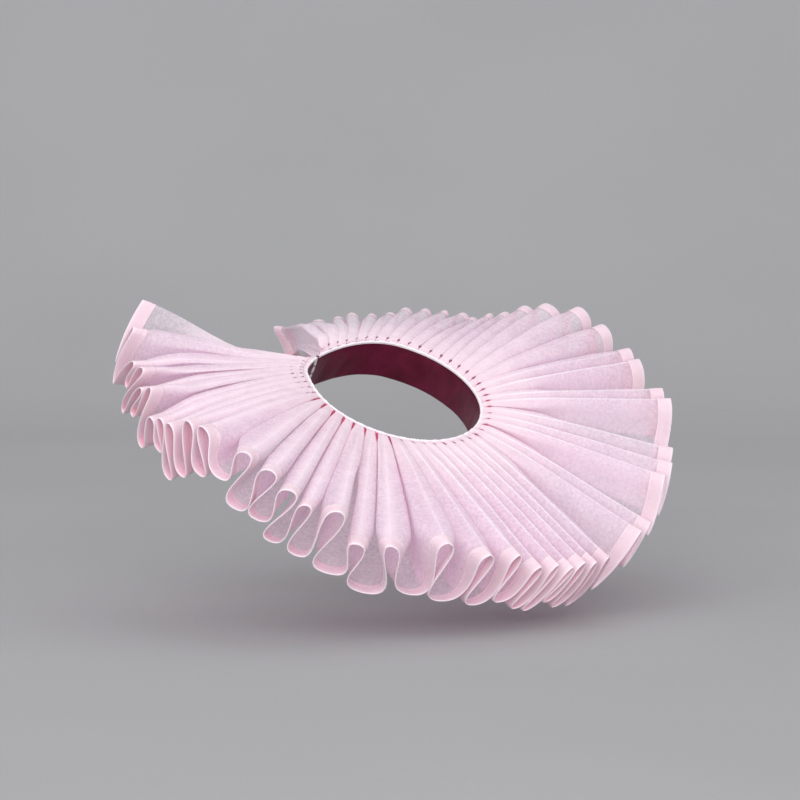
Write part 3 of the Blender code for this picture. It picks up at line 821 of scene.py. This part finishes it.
def flange(d):
    """the band's upper edge, turned out between the pleats"""
    v = d / 144.0
    return neck_pt * (1 - v) + mid_edge * v - AXIS * 0.25


def band_ring(r, h, fold=0.0):
    wr = (0.5 * smooth_noise(band_angle / 9.0, 41) + 0.3 * smooth_noise(band_angle / 3.5 + h * 0.09, 43)) * fold
    return on_neck(band_angle, BAND_RADIUS + r + wr, h + neck_dip(band_angle))


# painted shade: the band is dark all round, also where its turned-out edge shows between the pleats
rows = [flange(1.6), flange(0.8), band_ring(0.5, -0.7), band_ring(0.0, -1.6),
        band_ring(-0.2, -4.5, 0.2), band_ring(-0.4, -8.0, 0.8), band_ring(-0.2, -12.0, 1.0),
        band_ring(0.1, -16.0, 1.2), band_ring(0.5, -20.0, 1.2), band_ring(0.9, -24.0, 1.0),
        band_ring(1.3, -27.5, 0.8), band_ring(1.6, -30.2, 0.6), band_ring(1.9, -31.6, 0.4),
        band_ring(2.5, -31.9, 0.4), band_ring(2.9, -31.2, 0.4), band_ring(2.9, -29.5, 0.6),
        band_ring(2.5, -26.6, 0.8)]
arc = np.radians(band_angle - band_angle[0]) * BAND_RADIUS * MM
uv_rows, run = [], 0.0
for i in range(len(rows)):
    if i:
        run += float(np.mean(np.linalg.norm(rows[i] - rows[i - 1], axis=1))) * MM
    uv_rows.append(np.stack([arc, np.full(BAND_STEPS, run)], 1))
band = grid_mesh("neckband_satin", rows, uv_rows, material=satin)
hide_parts("neckband")
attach(band, "root")

# ---------------------------------------------------------------------------------------------
# Binding along the neckline: a pale strip folded over the band's top edge
# ---------------------------------------------------------------------------------------------
ROLL_RADIUS = 66.9
ROLL_STEPS = 1400
roll_angle = np.linspace(OPEN_START, OPEN_START + NECK_SPAN, ROLL_STEPS)
crest_t = np.interp(roll_angle, ST[:, 0], np.arange(len(ST)))
puff = 0.14 * np.cos(crest_t * math.pi) + 0.08 * np.sin(crest_t * math.pi * 3) + 0.08 * smooth_noise(roll_angle / 1.4, 51)
section = [(-0.15, 0.35), (-0.28, -0.4), (-0.35, -1.15), (-0.55, -1.42), (-0.78, -1.25), (-0.9, -0.8), (-0.95, -0.3)]
TURNED = len(section)
section += [(-0.95 * math.cos(a), 0.95 * math.sin(a)) for a in np.linspace(0.1, math.pi - 0.1, 9)]
section += [(1.05, -0.35), (0.96, -0.72), (0.76, -0.8), (0.6, -0.5), (0.52, 0.1), (0.4, 0.45)]
rows, uv_rows, run = [], [], 0.0
for i, (r, h) in enumerate(section):
    if i:
        run += math.hypot(r - section[i - 1][0], h - section[i - 1][1]) * MM
    out = puff * (1 if TURNED <= i < TURNED + 9 else 0.15)
    dh = max(h, 0)
    rows.append(on_neck(roll_angle, ROLL_RADIUS + r + out * r, h + out * dh + neck_dip(roll_angle)))
    uv_rows.append(np.stack([np.radians(roll_angle - roll_angle[0]) * ROLL_RADIUS * MM, np.full(ROLL_STEPS, run)], 1))
roll = grid_mesh("neckline_binding", rows, uv_rows, material=roll_satin)
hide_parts("neck_binding")
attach(roll, "root")

# ---------------------------------------------------------------------------------------------
# Stitches over the gathers: a zigzag of thread on the pleats next to the neckline
# ---------------------------------------------------------------------------------------------
parts = []
n_zig = 3 * HALVES
zig_t = np.linspace(0.2, HALVES - 0.2, n_zig)
zig_neck = np.interp(zig_t, np.arange(len(ST)), ST[:, 0])
for side in (1, -1):
    pts = []
    for i in range(n_zig):
        o = (0.5, 2.0)[i % 2]
        h = side * (float(neck_rise(np.array(o))) * (0.95 if side > 0 else 1.0) + 0.16) + float(neck_dip(zig_neck[i]))
        pts.append(on_neck(np.array(zig_neck[i]), np.array(NECK_RADIUS + o), np.array(h)))
    parts.append(tube(np.array(pts).reshape(-1, 3), 0.14, 5, ref=AXIS))
zig = join_parts("gather_stitches", parts, thread)
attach(zig, "root")

# ---------------------------------------------------------------------------------------------
# Hook and eye
# ---------------------------------------------------------------------------------------------
HOOK_DROP = -16.0
gap_mid = OPEN_START - (360 - NECK_SPAN) / 2
OUT = around(gap_mid)
ACROSS = SIDE * math.cos(math.radians(gap_mid)) - FRONT * math.sin(math.radians(gap_mid))
band_face = BAND_RADIUS + 0.5 + 1.0


def fastening(points):
    drop = HOOK_DROP + float(neck_dip(gap_mid))
    return np.array([OUT * (band_face + off) + ACROSS * x + AXIS * (drop + z) for x, z, off in points])


HOOK_PATH = ((9.5, 2.2, 1.4), (5.0, 1.0, 1.2), (0.0, 0.6, 1.3), (-3.2, 0.6, 1.8), (-4.0, 0.6, 2.9),
             (-3.0, 0.6, 4.0), (0.4, 0.6, 4.3))
EYE_PATH = ((-10.5, 3.6, 1.4), (-6.0, 3.6, 1.6), (-2.2, 3.2, 2.8), (-1.2, 0.6, 2.8), (-2.2, -2.4, 2.8),
            (-6.0, -3.0, 1.6), (-10.5, -3.0, 1.4))
hook = join_parts("hook_wire", [tube(spline(fastening(HOOK_PATH), 8), 0.48, 10)], wire_metal)
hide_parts("hook")
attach(hook, "root")
eye = join_parts("eye_wire", [tube(spline(fastening(EYE_PATH), 8), 0.48, 10)], wire_metal)
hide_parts("eye")
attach(eye, "root")
parts = []
for x, z in ((9.2, 2.1), (7.4, 1.6), (5.6, 1.2), (-10.2, 3.6), (-8.6, 3.6), (-7.0, 3.6), (-10.2, -3.0), (-8.6, -3.0),
             (-7.0, -3.0)):
    loop = [(x, z - 1.2, -0.2), (x, z - 0.9, 1.1), (x, z, 2.1), (x, z + 0.9, 1.1), (x, z + 1.2, -0.2)]
    parts.append(tube(spline(fastening(loop), 4), 0.2, 5))
sewn = join_parts("fastening_stitches", parts, thread)
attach(sewn, "root")


for o in bpy.data.objects:
    if o.type == "MESH" and not o.hide_render:
        print("TRIS", o.name, sum(len(p.vertices) - 2 for p in o.data.polygons))

# ---------------------------------------------------------------------------------------------
# Studio: pale floor that sweeps up behind, soft lights, camera
# ---------------------------------------------------------------------------------------------
FLOOR_Z = -0.158
profile = [(-16.0, 0.0), (1.2, 0.0)]
for a in np.linspace(0, math.pi / 2, 14):
    profile.append((1.2 + 1.2 * math.sin(a), 1.2 - 1.2 * math.cos(a)))
profile.append((2.4, 4.5))
cam_az = math.radians(-33.0)
away = np.array([-math.sin(cam_az), math.cos(cam_az), 0.0])
across = np.array([math.cos(cam_az), math.sin(cam_az), 0.0])
sv, sf = [], []
for d, z in profile:
    for x in (-18.0, 18.0):
        sv.append(away * d + across * x + np.array([0, 0, FLOOR_Z + z]))
for i in range(len(profile) - 1):
    sf.append((2 * i, 2 * i + 1, 2 * i + 3, 2 * i + 2))
floor_mat, nt, bsdf = new_material("floor_pale", (0.40, 0.40, 0.405), 0.9, specular=0.1)
tc = node(nt, "ShaderNodeTexCoord")
fn = noise(nt, tc, 3, 2)
c1 = colour_mix(nt, ramp(nt, fn, 0.3, 0.7), (0.395, 0.395, 0.40), (0.41, 0.41, 0.415))
nt.links.new(c1, bsdf.inputs["Base Color"])
floor = raw_mesh("studio_floor", np.array(sv), sf, None, floor_mat)


def area_light(name, azimuth, elevation, distance, size, power, colour=(1, 1, 1)):
    a, e = math.radians(azimuth), math.radians(elevation)
    pos = Vector((math.sin(a) * math.cos(e), -math.cos(a) * math.cos(e), math.sin(e))) * distance
    data = bpy.data.lights.new(name, "AREA")
    data.shape = "DISK"
    data.size = size
    data.energy = power
    data.color = colour
    obj = bpy.data.objects.new(name, data)
    obj.location = pos
    obj.rotation_euler = (-pos).to_track_quat("-Z", "Y").to_euler()
    bpy.context.collection.objects.link(obj)
    return obj


area_light("key", -62, 42, 2.6, 2.4, 9)
area_light("fill", -32, 4, 2.8, 2.6, 55)
area_light("top", 150, 62, 2.6, 2.4, 9)

world = bpy.data.worlds.new("studio")
world.use_nodes = True
world.node_tree.nodes["Background"].inputs[0].default_value = (0.95, 0.95, 0.98, 1)
world.node_tree.nodes["Background"].inputs[1].default_value = 0.88
bpy.context.scene.world = world
bpy.context.scene.cycles.transparent_max_bounces = 48
bpy.context.scene.cycles.max_bounces = 20
bpy.context.scene.cycles.diffuse_bounces = 14
bpy.context.scene.view_settings.view_transform = "Standard"

cam_data = bpy.data.cameras.new("camera")
cam_data.sensor_width = 36.0
cam_data.lens = 127.6
cam_data.shift_x = 5 / 800
cam_data.shift_y = -11 / 800
cam_data.clip_end = 30
cam = bpy.data.objects.new("camera", cam_data)
ce = math.radians(5.0)
pos = Vector((math.sin(cam_az) * math.cos(ce), -math.cos(cam_az) * math.cos(ce), math.sin(ce))) * 2.1
cam.location = pos
cam.rotation_euler = (-pos).to_track_quat("-Z", "Y").to_euler()
bpy.context.collection.objects.link(cam)
bpy.context.scene.camera = cam
